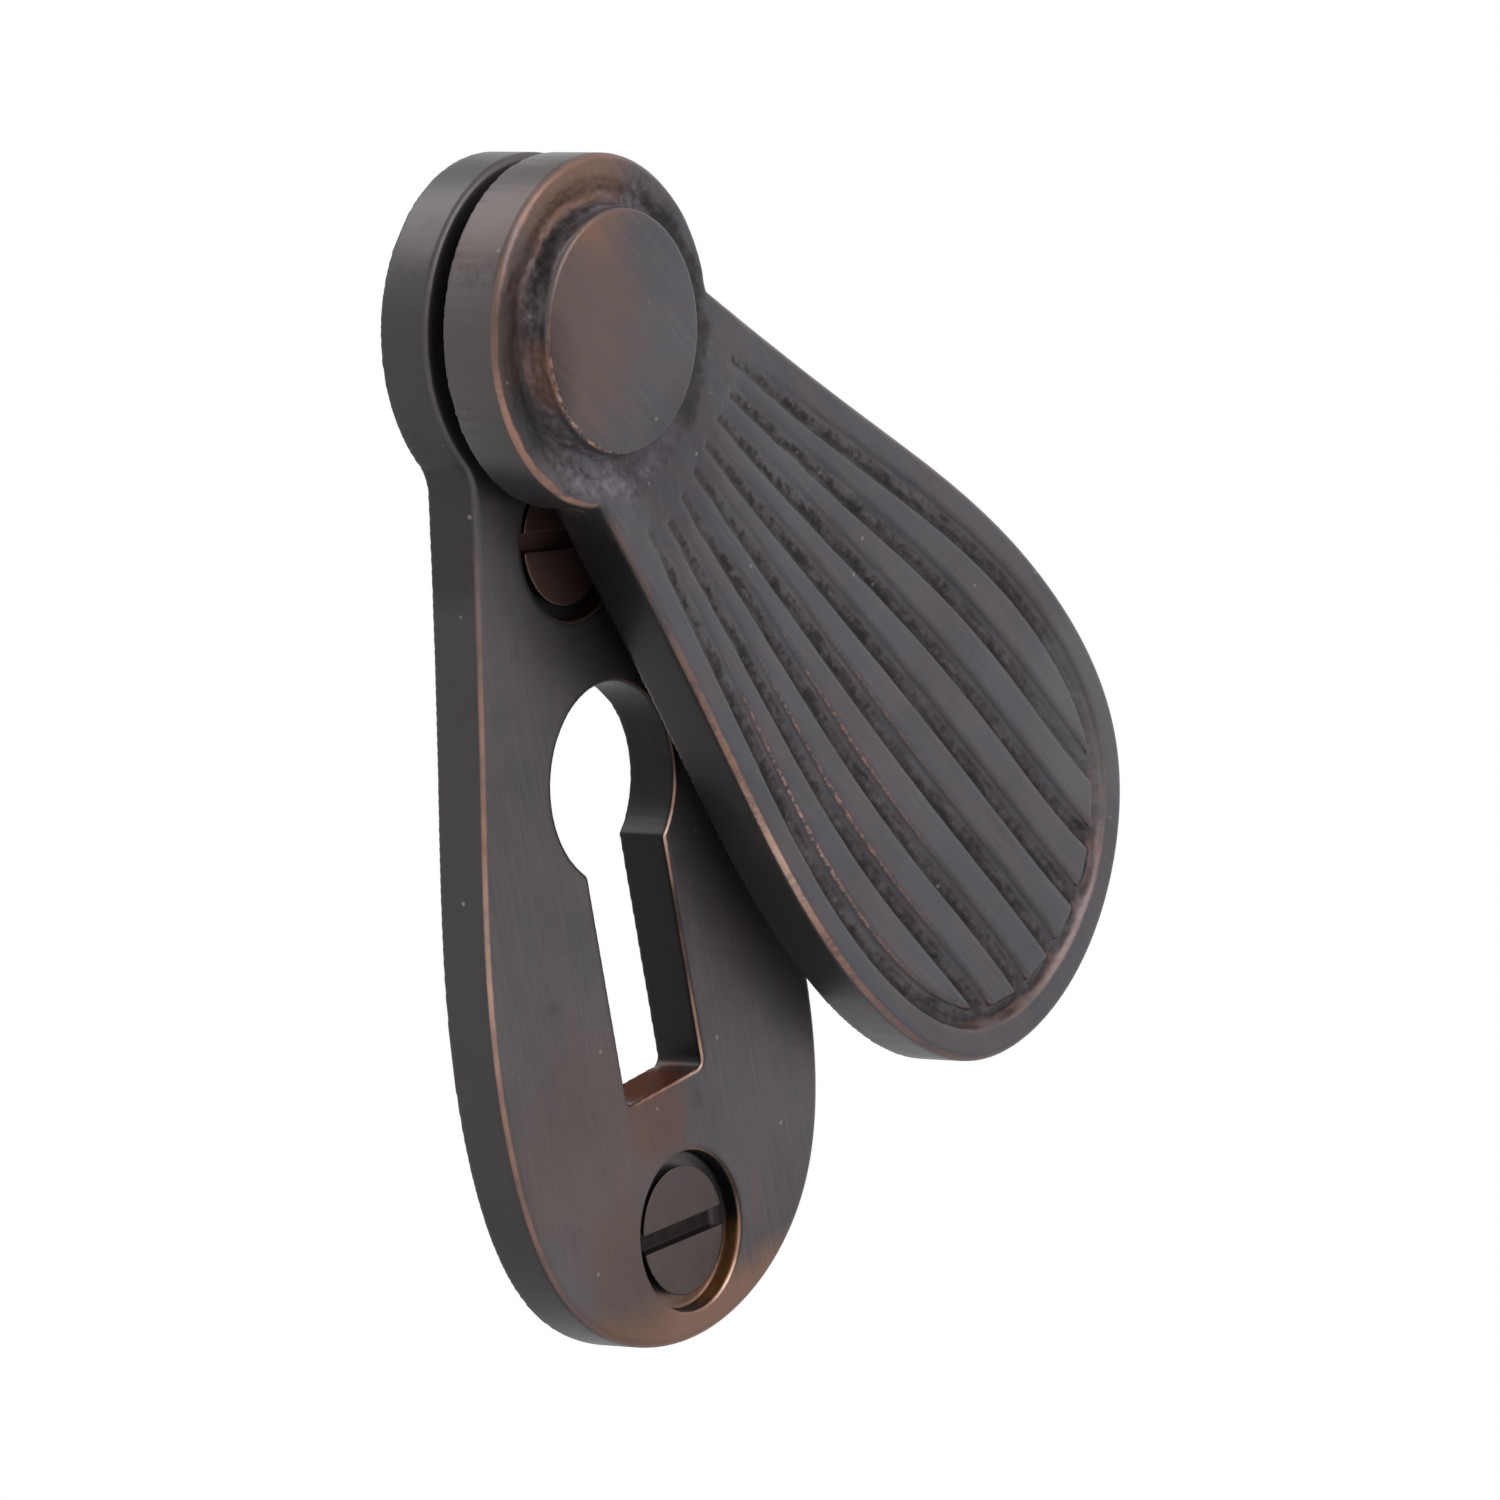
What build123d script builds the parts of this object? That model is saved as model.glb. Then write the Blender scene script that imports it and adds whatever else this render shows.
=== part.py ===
from build123d import *
import os
from math import asin, cos, degrees, radians, sin, sqrt, tan

# Keyhole escutcheon: a pear-shaped back plate with a keyhole, and a cover of the same
# outline that swings aside on a pin at its head. Millimetres. +Z is up and the front
# faces -Y. The origin is on the mounting face, on the axis of the key.

# Pear outline of the plate and the cover: drops are below the pivot, widths from its middle
HEAD_RADIUS = 7.85
NECK_HALF_WIDTH = 6.1
NECK_SLOPE = 0.2
FLANK_DROP = 18.0
FLANK_HALF_WIDTH = 8.98
BELLY_DROP = 34.4
BELLY_HALF_WIDTH = 11.5
HIP_DROP = 43.2
HIP_HALF_WIDTH = 8.8
FOOT_DROP = 47.05

# Back plate
PLATE_THICKNESS = 2.6
PLATE_EDGE_BREAK = 0.2
PLATE_NECK_RADIUS = 2.0
PIVOT_HEIGHT = 21.0
KEYHOLE_RADIUS = 4.5
SLOT_WIDTH = 5.75
SLOT_DROP = 14.35
SLOT_CORNER_RADIUS = 0.4

# Slotted countersunk screws, in counterbored holes that leave a ring free round each head
UPPER_SCREW_HEIGHT = 11.3
LOWER_SCREW_DROP = 21.2
UPPER_SLOT_ANGLE = -6.0
LOWER_SLOT_ANGLE = 5.0
SCREW_LENGTH = 6.35
SCREW_HEAD_RADIUS = 2.85
SCREW_HEAD_LAND = 0.25
SCREW_HEAD_ANGLE = 82.0
SCREW_HEAD_RECESS = 0.25
SCREW_SLOT_WIDTH = 0.85
SCREW_SLOT_DEPTH = 0.6
SHANK_RADIUS = 1.42
THREAD_RADIUS = 1.2
POINT_LENGTH = 1.9
POINT_RADIUS = 0.15
HEAD_RING = 0.77
COUNTERBORE_DEPTH = 0.9
SEAT_CLEARANCE = 0.04
SHANK_CLEARANCE = 0.13

# Pivot pin and the bearing washer between the two heads
PIN_RADIUS = 2.0
PIN_CLEARANCE = 0.05
PIN_SEAT_DEPTH = 2.2
RIVET_SPREAD = 0.95
RIVET_RECESS = 0.05
WASHER_RADIUS = 5.4
WASHER_CLEARANCE = 0.05

# Swing cover
COVER_GAP = 0.9
COVER_THICKNESS = 2.9
COVER_EDGE_BREAK = 0.25
SWING_ANGLE = 35.8
BOSS_RADIUS = 5.43
BOSS_HEIGHT = 1.1
BOSS_DRAFT = 9.0
BOSS_EDGE_RADIUS = 0.15
MOAT_RADIUS = 6.6
MOAT_DEPTH = 0.5
MOAT_DRAFT = 40.0

# Fan of reeds: one groove follows the rim, and the others spread evenly inside it.
# Shares are of the flank's length, from the neck to the foot.
GROOVE_COUNT = 8
GROOVE_INSET = 1.92
GROOVE_WIDTH = 1.05
GROOVE_FLOOR = 0.5
GROOVE_DEPTH = 0.55
DEEPEST_SHARE = 0.6
RIM_START_SHARE = 0.055
RIM_STATIONS = 28
REED_START_SHARE = 0.075
REED_STATIONS = 5
FAN_SPREAD = 1.2
OVERCUT = 0.4

# Planes: each piece is drawn on its own face, with the pivot as the middle of the pear
neck_drop = sqrt(HEAD_RADIUS**2 - NECK_HALF_WIDTH**2)
cover_back = PLATE_THICKNESS + COVER_GAP
swing = radians(SWING_ANGLE)
wall_plane = Plane(origin=(0, 0, 0), x_dir=(1, 0, 0), z_dir=(0, -1, 0))
plate_plane = Plane(origin=(0, 0, PIVOT_HEIGHT), x_dir=(1, 0, 0), z_dir=(0, -1, 0))
cover_plane = Plane(
    origin=(0, -cover_back, PIVOT_HEIGHT),
    x_dir=(cos(swing), 0, sin(swing)),
    z_dir=(0, -1, 0),
)
cover_face = cover_plane.offset(COVER_THICKNESS)
pivot_section = Plane(origin=(0, 0, PIVOT_HEIGHT), x_dir=(1, 0, 0), z_dir=(0, 0, 1))


def flank_curve():
    """The right flank of the pear, from the neck to the foot."""
    return Spline(
        (NECK_HALF_WIDTH, -neck_drop),
        (FLANK_HALF_WIDTH, -FLANK_DROP),
        (BELLY_HALF_WIDTH, -BELLY_DROP),
        (HIP_HALF_WIDTH, -HIP_DROP),
        (0, -FOOT_DROP),
        tangents=[(NECK_SLOPE, -1), (-1, 0)],
    )


def pear_face():
    """Fills the pear outline in the sketch that is open."""
    neck_angle = degrees(asin(neck_drop / HEAD_RADIUS))
    with BuildLine() as outline:
        flank_curve()
        CenterArc((0, 0), HEAD_RADIUS, -neck_angle, 90 + neck_angle)
        mirror(about=Plane.YZ)
    make_face(outline.edges())


# Screw: a countersunk head, a shank as long as the plate needs and a threaded part behind it
head_slope = tan(radians(SCREW_HEAD_ANGLE / 2))
cone_start = SCREW_HEAD_RECESS + SCREW_HEAD_LAND
cone_end = cone_start + (SCREW_HEAD_RADIUS - SHANK_RADIUS) / head_slope
screw_tip = SCREW_HEAD_RECESS + SCREW_LENGTH
with BuildPart() as screw:
    with BuildSketch(Plane.XY):
        with BuildLine():
            Polyline(
                (0, -PLATE_THICKNESS + SCREW_HEAD_RECESS),
                (SCREW_HEAD_RADIUS, -PLATE_THICKNESS + SCREW_HEAD_RECESS),
                (SCREW_HEAD_RADIUS, -PLATE_THICKNESS + cone_start),
                (SHANK_RADIUS, -PLATE_THICKNESS + cone_end),
                (SHANK_RADIUS, 0),
                (THREAD_RADIUS, 0),
                (THREAD_RADIUS, -PLATE_THICKNESS + screw_tip - POINT_LENGTH),
                (POINT_RADIUS, -PLATE_THICKNESS + screw_tip),
                (0, -PLATE_THICKNESS + screw_tip),
                close=True,
            )
        make_face()
    revolve(axis=Axis.Y)
    with BuildSketch(wall_plane.offset(PLATE_THICKNESS - SCREW_HEAD_RECESS)):
        Rectangle(2 * SCREW_HEAD_RADIUS, SCREW_SLOT_WIDTH)
    extrude(amount=-SCREW_SLOT_DEPTH, mode=Mode.SUBTRACT)

screw_places = (
    (UPPER_SCREW_HEIGHT, UPPER_SLOT_ANGLE),
    (-LOWER_SCREW_DROP, LOWER_SLOT_ANGLE),
)
with BuildPart() as fixing_screws:
    for height, angle in screw_places:
        add(screw.part.moved(Location((0, 0, height), (0, angle, 0))))

# Back plate: the pear, the keyhole, the two screw holes and the pivot hole
hole_radius = SHANK_RADIUS + SHANK_CLEARANCE
seat_radius = SCREW_HEAD_RADIUS + SEAT_CLEARANCE
counterbore_radius = SCREW_HEAD_RADIUS + HEAD_RING
ledge_radius = seat_radius - (COUNTERBORE_DEPTH - cone_start) * head_slope
seat_end = cone_start + (seat_radius - hole_radius) / head_slope
pivot_hole = PIN_RADIUS + PIN_CLEARANCE
with BuildPart() as back_plate:
    with BuildSketch(plate_plane):
        pear_face()
    extrude(amount=PLATE_THICKNESS)
    fillet(back_plate.edges().filter_by(Axis.Y), PLATE_NECK_RADIUS)
    front = back_plate.faces().sort_by(Axis.Y)[0]
    chamfer(front.outer_wire().edges(), PLATE_EDGE_BREAK)
    with BuildSketch(wall_plane) as keyhole:
        Rectangle(SLOT_WIDTH, SLOT_DROP, align=(Align.CENTER, Align.MAX))
        fillet(keyhole.vertices().group_by(Axis.Y)[0], SLOT_CORNER_RADIUS)
        Circle(KEYHOLE_RADIUS)
    extrude(amount=PLATE_THICKNESS, mode=Mode.SUBTRACT)
    for height, angle in screw_places:
        with BuildSketch(Plane.XY.offset(height)):
            with BuildLine():
                Polyline(
                    (0, -PLATE_THICKNESS),
                    (counterbore_radius, -PLATE_THICKNESS),
                    (counterbore_radius, -PLATE_THICKNESS + COUNTERBORE_DEPTH),
                    (ledge_radius, -PLATE_THICKNESS + COUNTERBORE_DEPTH),
                    (hole_radius, -PLATE_THICKNESS + seat_end),
                    (hole_radius, 0),
                    (0, 0),
                    close=True,
                )
            make_face()
        revolve(axis=Axis((0, 0, height), (0, 1, 0)), mode=Mode.SUBTRACT)
    with BuildSketch(pivot_section):
        with BuildLine():
            Polyline(
                (0, -PLATE_THICKNESS),
                (pivot_hole, -PLATE_THICKNESS),
                (pivot_hole, -RIVET_SPREAD - RIVET_RECESS),
                (pivot_hole + RIVET_SPREAD + RIVET_RECESS, 0),
                (0, 0),
                close=True,
            )
        make_face()
    revolve(axis=Axis(pivot_section.origin, (0, 1, 0)), mode=Mode.SUBTRACT)

# Bearing washer: lies on the plate's head and keeps the cover off the plate
with BuildPart() as bearing_washer:
    with BuildSketch(plate_plane.offset(PLATE_THICKNESS)):
        Circle(WASHER_RADIUS)
        Circle(pivot_hole, mode=Mode.SUBTRACT)
    extrude(amount=COVER_GAP - WASHER_CLEARANCE)

# Pivot pin: held in the cover's boss, and spread into the countersink in the plate's back
with BuildPart() as pivot_pin:
    with BuildSketch(pivot_section):
        with BuildLine():
            Polyline(
                (0, -cover_back - PIN_SEAT_DEPTH),
                (PIN_RADIUS, -cover_back - PIN_SEAT_DEPTH),
                (PIN_RADIUS, -RIVET_RECESS - RIVET_SPREAD),
                (PIN_RADIUS + RIVET_SPREAD, -RIVET_RECESS),
                (0, -RIVET_RECESS),
                close=True,
            )
        make_face()
    revolve(axis=Axis(pivot_section.origin, (0, 1, 0)))

# Grooves between the reeds: sections that deepen and widen from the neck to the belly
flank = flank_curve()
groove_slope = (GROOVE_WIDTH - GROOVE_FLOOR) / 2 / GROOVE_DEPTH


def rim_station(share):
    """Point and direction on the middle of the rim's groove, at a share of the flank."""
    length = share * flank.length
    edge = flank.position_at(length, position_mode=PositionMode.LENGTH)
    along = flank.tangent_at(length, position_mode=PositionMode.LENGTH)
    inward = Vector(along.Y, -along.X)
    return edge + inward * GROOVE_INSET, along


def groove_depth(share):
    """Depth of a groove: full at the belly, shallower toward the neck and the foot."""
    return GROOVE_DEPTH * (1 - (1 - share / DEEPEST_SHARE) ** 2)


def groove_section(point, along, depth):
    """A groove's section across its direction, placed on the cover's face."""
    across = Plane(origin=point, x_dir=(along.Y, -along.X), z_dir=along)
    floor = GROOVE_FLOOR / 2
    top = floor + groove_slope * (depth + OVERCUT)
    with BuildSketch(Plane(cover_face.location * across.location)) as profile:
        Polygon((-top, -OVERCUT), (top, -OVERCUT), (floor, depth), (-floor, depth), align=None)
    return profile.sketch


def spread(first, last, count):
    """Evenly spaced values from the first to the last."""
    return [first + (last - first) * i / (count - 1) for i in range(count)]


rim_sections = []
rim_points = []
for share in spread(RIM_START_SHARE, 2 - RIM_START_SHARE, 2 * RIM_STATIONS + 1):
    side = 1 if share <= 1 else -1
    share = min(share, 2 - share)
    point, along = rim_station(share)
    point = Vector(side * point.X, point.Y)
    along = Vector(along.X, side * along.Y)
    rim_points.append(point)
    rim_sections.append(groove_section(point, along, groove_depth(share)))
with BuildPart() as rim_groove:
    loft(rim_sections, ruled=True)

down = Vector(0, -1)
with BuildPart() as reed_grooves:
    for place in spread(-1, 1, GROOVE_COUNT)[1:-1]:
        reed_sections = []
        for share in spread(REED_START_SHARE, DEEPEST_SHARE, REED_STATIONS):
            point, along = rim_station(share)
            point = Vector(place * point.X, point.Y)
            reed_sections.append(groove_section(point, down, groove_depth(share)))
        foot = Vector(FAN_SPREAD * point.X, -FOOT_DROP)
        reed_sections.append(groove_section(foot, down, GROOVE_DEPTH))
        loft(reed_sections)
    with BuildSketch(cover_plane):
        with BuildLine():
            Polyline(rim_points, close=True)
        make_face()
    extrude(amount=2 * COVER_THICKNESS, mode=Mode.INTERSECT)

# Swing cover: the pear, the moat round the boss, the boss, the grooves and the pin's seat
boss_base = BOSS_RADIUS + (BOSS_HEIGHT + MOAT_DEPTH) * tan(radians(BOSS_DRAFT))
with BuildPart() as swing_cover:
    with BuildSketch(cover_plane):
        pear_face()
    extrude(amount=COVER_THICKNESS)
    front = swing_cover.faces().sort_by(Axis.Y)[0]
    chamfer(front.outer_wire().edges(), COVER_EDGE_BREAK)
    with BuildSketch(cover_face):
        Circle(MOAT_RADIUS)
    extrude(amount=-MOAT_DEPTH, taper=MOAT_DRAFT, mode=Mode.SUBTRACT)
    with BuildSketch(cover_face.offset(-MOAT_DEPTH)):
        Circle(boss_base)
    extrude(amount=MOAT_DEPTH + BOSS_HEIGHT, taper=BOSS_DRAFT)
    boss_top = swing_cover.faces().sort_by(Axis.Y)[0]
    fillet(boss_top.edges(), BOSS_EDGE_RADIUS)
    add(reed_grooves.part, mode=Mode.SUBTRACT)
    add(rim_groove.part, mode=Mode.SUBTRACT)
    with BuildSketch(cover_plane):
        Circle(PIN_RADIUS)
    extrude(amount=PIN_SEAT_DEPTH, mode=Mode.SUBTRACT)

os.makedirs("parts", exist_ok=True)
pieces = {
    "back_plate": back_plate,
    "swing_cover": swing_cover,
    "pivot_pin": pivot_pin,
    "bearing_washer": bearing_washer,
    "fixing_screws": fixing_screws,
}
for name, piece in pieces.items():
    piece.part.label = name
    export_step(piece.part, f"parts/{name}.step")
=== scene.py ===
import math

import bmesh
import bpy
from mathutils import Matrix, Vector


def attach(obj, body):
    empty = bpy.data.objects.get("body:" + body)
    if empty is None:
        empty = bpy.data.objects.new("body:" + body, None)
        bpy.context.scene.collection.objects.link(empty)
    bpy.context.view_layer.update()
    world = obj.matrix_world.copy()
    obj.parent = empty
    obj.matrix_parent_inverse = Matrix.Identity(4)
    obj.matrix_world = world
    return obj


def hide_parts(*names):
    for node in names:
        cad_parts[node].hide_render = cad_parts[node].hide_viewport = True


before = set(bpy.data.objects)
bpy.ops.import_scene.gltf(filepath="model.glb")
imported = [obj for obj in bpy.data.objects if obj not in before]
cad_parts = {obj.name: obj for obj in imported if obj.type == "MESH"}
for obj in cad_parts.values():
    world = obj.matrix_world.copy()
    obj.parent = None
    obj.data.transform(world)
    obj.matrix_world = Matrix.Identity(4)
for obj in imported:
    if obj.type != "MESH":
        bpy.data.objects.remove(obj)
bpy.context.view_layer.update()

# Keyhole escutcheon in oil-rubbed bronze: a cast plate, and a cast cover that swings on a pivot.
# The frame is the part's own, in metres: +Z up, the front faces -Y. Sizes below are millimetres.
MM = 0.001

# Camera: the angle of the photograph, from the left and a little above, tipped to one side
CAMERA_AZIMUTH = -51.5
CAMERA_ELEVATION = 15.3
CAMERA_ROLL = -9.6
CAMERA_DISTANCE = 634.6
CAMERA_LENS = 335.4
SENSOR_WIDTH = 36
CAMERA_AIM = (13.24, 0, -2.86)

# Floor, and the share of the white surroundings that falls on the part as light
FLOOR_RADIUS = 200
FLOOR_HEIGHT = -120
FLOOR_GREY = "#c9c9c9"
SURROUND_LIGHT = 0.5

# Front faces of the plate, the cover and its boss
PLATE_FACE = -2.6
COVER_FACE = -6.4
BOSS_FACE = -7.5

# Heads of plate and cover: the pivot, the radius, and how far the flats of a mesh lie off that round
PIVOT_HEIGHT = 21.0
PIVOT_HEAD_RADIUS = 7.85
FLATS_REACH = 0.06

# Plate: radius round the pivot that the cover's head keeps a hand off, and the width of the change
SHELTERED_RADIUS = 8.5
SHELTER_FADE = 2.0

# Cover: the angle it is swung to, and the rough ring round its boss, ragged outside and wider below
SWING_ANGLE = 35.8
RING_INNER = 5.5
RING_OUTER = 7.0
RAGGED_SIZE = 1.2
RAGGED_DEPTH = 0.4
RING_WIDER = 0.6
RING_WIDER_FROM = 4.0

# Cover: level in front of which only the boss stands, and where the pitted neck turns to clean reeds
BOSS_FOOT = -6.6
GROOVES_FAINT = 9.5
GROOVES_FULL = 15.0

# Fan of reeds: the way to it from the pivot, its middle, the groove round it and the lip beyond that
FAN_WAY = (0.6, 0.0, -0.8)
FAN_MIDDLE = (20.8, 0.0, -7.8)
FAN_RADIUS = 9.6
LIP_WIDTH = 0.7
LIP_FADE = 0.5

# Reeds are rubbed bright, and their grooves eased most, on the side towards the lower left
RUBBED_WAY = (-0.81, 0.0, -0.58)

# Slotted wood screws
SCREW_FACE = 2.17
SCREW_HEAD_RADIUS = 2.95
HEAD_LAND = 0.05
CONE_DEPTH = 1.67
SHANK_RADIUS = 1.42
SHANK_DEPTH = 0.45
CORE_RADIUS = 1.0
CORE_DEPTH = 2.1
POINT_RADIUS = 0.12
POINT_DEPTH = 1.88
THREAD_TURNS = 2
THREAD_HEIGHT = 0.36
THREAD_RUN_OUT = 0.7
SLOT_WIDTH = 0.85
SLOT_DEPTH = 0.6
SLOT_DIM_FROM = 0.3
UPPER_SCREW_HEIGHT = 11.3
LOWER_SCREW_HEIGHT = -21.2
UPPER_SLOT_ANGLE = 14.0
LOWER_SLOT_ANGLE = 5.0
SCREW_FLATS = 96
THREAD_STEPS = 48

# A level clear of every piece, for a mark that a piece doesn't have
NOWHERE = 10.0

# Steps from point to point of the mesh over which a value is evened out
WIDE_STEPS = 60
EASE_STEPS = 50
SPREAD_STEPS = 20
SLOPE_STEPS = 15
RING_STEPS = 12
NEAR_STEPS = 10
FRAY_STEPS = 8

# Patterns of the finish, and how many times longer than wide the streaks are.
# Real brushing is finer: these lines are as wide as the picture can show.
CLOUD_SIZE = 6.0
PATCH_SIZE = 1.8
GRIT_SIZE = 0.45
SPARK_SIZE = 0.3
BRUSH_WIDTH = 0.2
BRUSH_STRETCH = 30.0
BLUSH_WIDTH = 1.2
BLUSH_STRETCH = 5.0
BUMP_DEPTH = 0.02
DUST_SPACING = 2.2
DUST_RADIUS = 0.13

# Colours that all the bronze shares
BLUSH_BROWN = "#6b524b"
PATCH_GREY = "#645a60"
STREAK_GREY = "#7b7473"
# Painted shade on the walls of holes
HOLE_SHADE_BLACK = "#201e1e"
RING_SKIN = ("#757178", "#4e474b")
# Dark of the pits, also used for painted shadow in the grooves
PIT_AND_SHADOW_BLACK = "#2b2729"
COPPER = "#9a7668"
BRIGHT_COPPER = "#c8a898"
LIP_COPPER = "#94705f"
DUST_GREY = "#a09a94"
NO_TINT = "#ffffff"

# Kinds of node that are used most
MATH = "ShaderNodeMath"
VECTOR = "ShaderNodeVectorMath"
RANGE = "ShaderNodeMapRange"
MIX = "ShaderNodeMix"
NOISE = "ShaderNodeTexNoise"
COMPARE = "FunctionNodeCompare"
BLUR = "GeometryNodeBlurAttribute"
STORE = "GeometryNodeStoreNamedAttribute"


def linear(code):
    """Linear colour, with full alpha, from an sRGB hex code."""
    values = [int(code[i:i + 2], 16) / 255 for i in (1, 3, 5)]
    return tuple(v / 12.92 if v <= 0.04045 else ((v + 0.055) / 1.055) ** 2.4 for v in values) + (1,)


def add(tree, kind, inputs=None, **settings):
    """Adds a node with its settings, sets or links its inputs and returns its outputs by name."""
    node = tree.nodes.new(kind)
    for name, value in settings.items():
        setattr(node, name, value)
    sockets = [socket for socket in node.inputs if socket.enabled]
    for key, value in (inputs or {}).items():
        socket = sockets[key] if isinstance(key, int) else next(s for s in sockets if s.name == key)
        if isinstance(value, bpy.types.NodeSocket):
            tree.links.new(value, socket)
        elif isinstance(value, list):
            for source in value:
                tree.links.new(source, socket)
        else:
            socket.default_value = value
    return {socket.name: socket for socket in node.outputs if socket.enabled}


def faded(tree, amount, fades, **settings):
    """An amount that fades out, once for each value with the levels that leave none and all of it."""
    for value, none, full in fades:
        share = add(tree, RANGE, {"Value": value, "From Min": none, "From Max": full}, **settings)["Result"]
        amount = add(tree, MATH, {0: amount, 1: share}, operation="MULTIPLY")["Value"]
    return amount


# Materials

def new_material(name):
    """An empty node material and its tree."""
    material = bpy.data.materials.new(name)
    material.use_nodes = True
    material.node_tree.nodes.clear()
    return material, material.node_tree


def finish_patterns(tree, brush_turn):
    """What a finish follows: the place, the marks of the cast skin, and its clouds, specks and streaks."""
    see = {"place": add(tree, "ShaderNodeTexCoord")["Object"]}
    for mark in ("wear", "rim", "hollow", "ring", "shade", "turned_away", "hole_wall", "lip"):
        see[mark] = add(tree, "ShaderNodeAttribute", attribute_name=mark)["Fac"]
    for pattern, size in (("cloud", CLOUD_SIZE), ("patch", PATCH_SIZE), ("grit", GRIT_SIZE),
                          ("spark", SPARK_SIZE)):
        see[pattern] = add(tree, NOISE, {"Vector": see["place"], "Scale": 1 / (size * MM),
                                         "Detail": 4})["Fac"]
    for pattern, width, stretch in (("brush", BRUSH_WIDTH, BRUSH_STRETCH),
                                    ("haze", BLUSH_WIDTH, BLUSH_STRETCH)):
        drawn = add(tree, "ShaderNodeMapping", {"Vector": see["place"], "Scale": (1, 1, stretch),
                                                "Rotation": (0, math.radians(brush_turn), 0)},
                    vector_type="TEXTURE")["Vector"]
        see[pattern] = add(tree, NOISE, {"Vector": drawn, "Scale": 1 / (width * MM), "Detail": 4})["Fac"]
    see["uneven"] = add(tree, RANGE, {"Value": see["patch"], "From Min": 0.35, "From Max": 0.6,
                                      "To Min": 0.4})["Result"]
    return see


def patina(tree, see, light, dark, side, brush_depth, blush):
    """Patina: clouded, with a brown blush, streaked by the brushing, with painted shade on sides and in
    holes.
    """
    base = add(tree, RANGE, {"Value": see["cloud"], "From Min": 0.3, "From Max": 0.7})["Result"]
    base = add(tree, MIX, {"Factor": base, "A": linear(dark), "B": linear(light)},
               data_type="RGBA")["Result"]
    for value, start, end, strength, colour in (("haze", 0.45, 0.75, blush, BLUSH_BROWN),
                                                ("patch", 0.45, 0.7, 0.3, PATCH_GREY),
                                                ("brush", 0.45, 0.75, brush_depth, STREAK_GREY),
                                                # Painted shade: sides turned away from the front, and walls
                                                # of holes, are darker
                                                ("turned_away", 0, 1, 1, side),
                                                ("hole_wall", 0, 1, 1, HOLE_SHADE_BLACK)):
        amount = add(tree, RANGE, {"Value": see[value], "From Min": start, "From Max": end,
                                   "To Max": strength})["Result"]
        base = add(tree, MIX, {"Factor": amount, "A": base, "B": linear(colour)}, data_type="RGBA")["Result"]
    return base


def mould_skin(tree, see, base, skin):
    """Hollows keep the dull skin of the mould: speckled, paler by the boss, pitted, with painted shadow and
    dirt in grooves.
    """
    dull = add(tree, MATH, {0: see["hollow"], 1: see["patch"]}, operation="ADD")["Value"]
    dull = add(tree, RANGE, {"Value": dull, "From Min": 0.5, "From Max": 1.3},
               interpolation_type="SMOOTHSTEP")["Result"]
    pale, deep = (
        add(tree, MIX, {"Factor": see["ring"], "A": linear(groove), "B": linear(round_boss)},
            data_type="RGBA")["Result"]
        for groove, round_boss in zip(skin, RING_SKIN))
    mottle = add(tree, MATH, {0: see["haze"], 1: see["grit"]}, operation="ADD")["Value"]
    mottle = add(tree, RANGE, {"Value": mottle, "From Min": 0.8, "From Max": 1.2})["Result"]
    mottle = add(tree, MIX, {"Factor": mottle, "A": pale, "B": deep}, data_type="RGBA")["Result"]
    base = add(tree, MIX, {"Factor": dull, "A": base, "B": mottle}, data_type="RGBA")["Result"]

    # Pits of the grooves, most of them at the neck
    groove = add(tree, MATH, {0: see["hollow"], 1: see["ring"]}, operation="SUBTRACT",
                 use_clamp=True)["Value"]
    pits_and_shadow = add(tree, MATH, {0: see["patch"], 1: see["grit"]}, operation="ADD")["Value"]
    pits_and_shadow = add(tree, RANGE, {"Value": pits_and_shadow, "From Min": 0.97, "From Max": 1.12, "To Max": 0.85})["Result"]
    pits_and_shadow = add(tree, MATH, {0: pits_and_shadow, 1: groove}, operation="MULTIPLY")["Value"]
    upper = add(tree, VECTOR, {0: see["place"], 1: (0, 0, PIVOT_HEIGHT * MM)}, operation="DISTANCE")["Value"]
    upper = add(tree, RANGE, {"Value": upper, "From Min": 2 * GROOVES_FULL * MM,
                              "From Max": GROOVES_FULL * MM, "To Min": 0.25})["Result"]
    pits_and_shadow = add(tree, MATH, {0: pits_and_shadow, 1: upper}, operation="MULTIPLY")["Value"]

    # Painted shadow, with dirt, on the groove's wall that turns away from the rubbed side
    shade = add(tree, MATH, {0: see["shade"], 1: groove}, operation="MULTIPLY")["Value"]
    shade = add(tree, MATH, {0: shade, 1: see["uneven"]}, operation="MULTIPLY")["Value"]
    pits_and_shadow = add(tree, MATH, {0: pits_and_shadow, 1: shade}, operation="MAXIMUM")["Value"]
    base = add(tree, MIX, {"Factor": pits_and_shadow, "A": base, "B": linear(PIT_AND_SHADOW_BLACK)}, data_type="RGBA")["Result"]
    return base, dull


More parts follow.
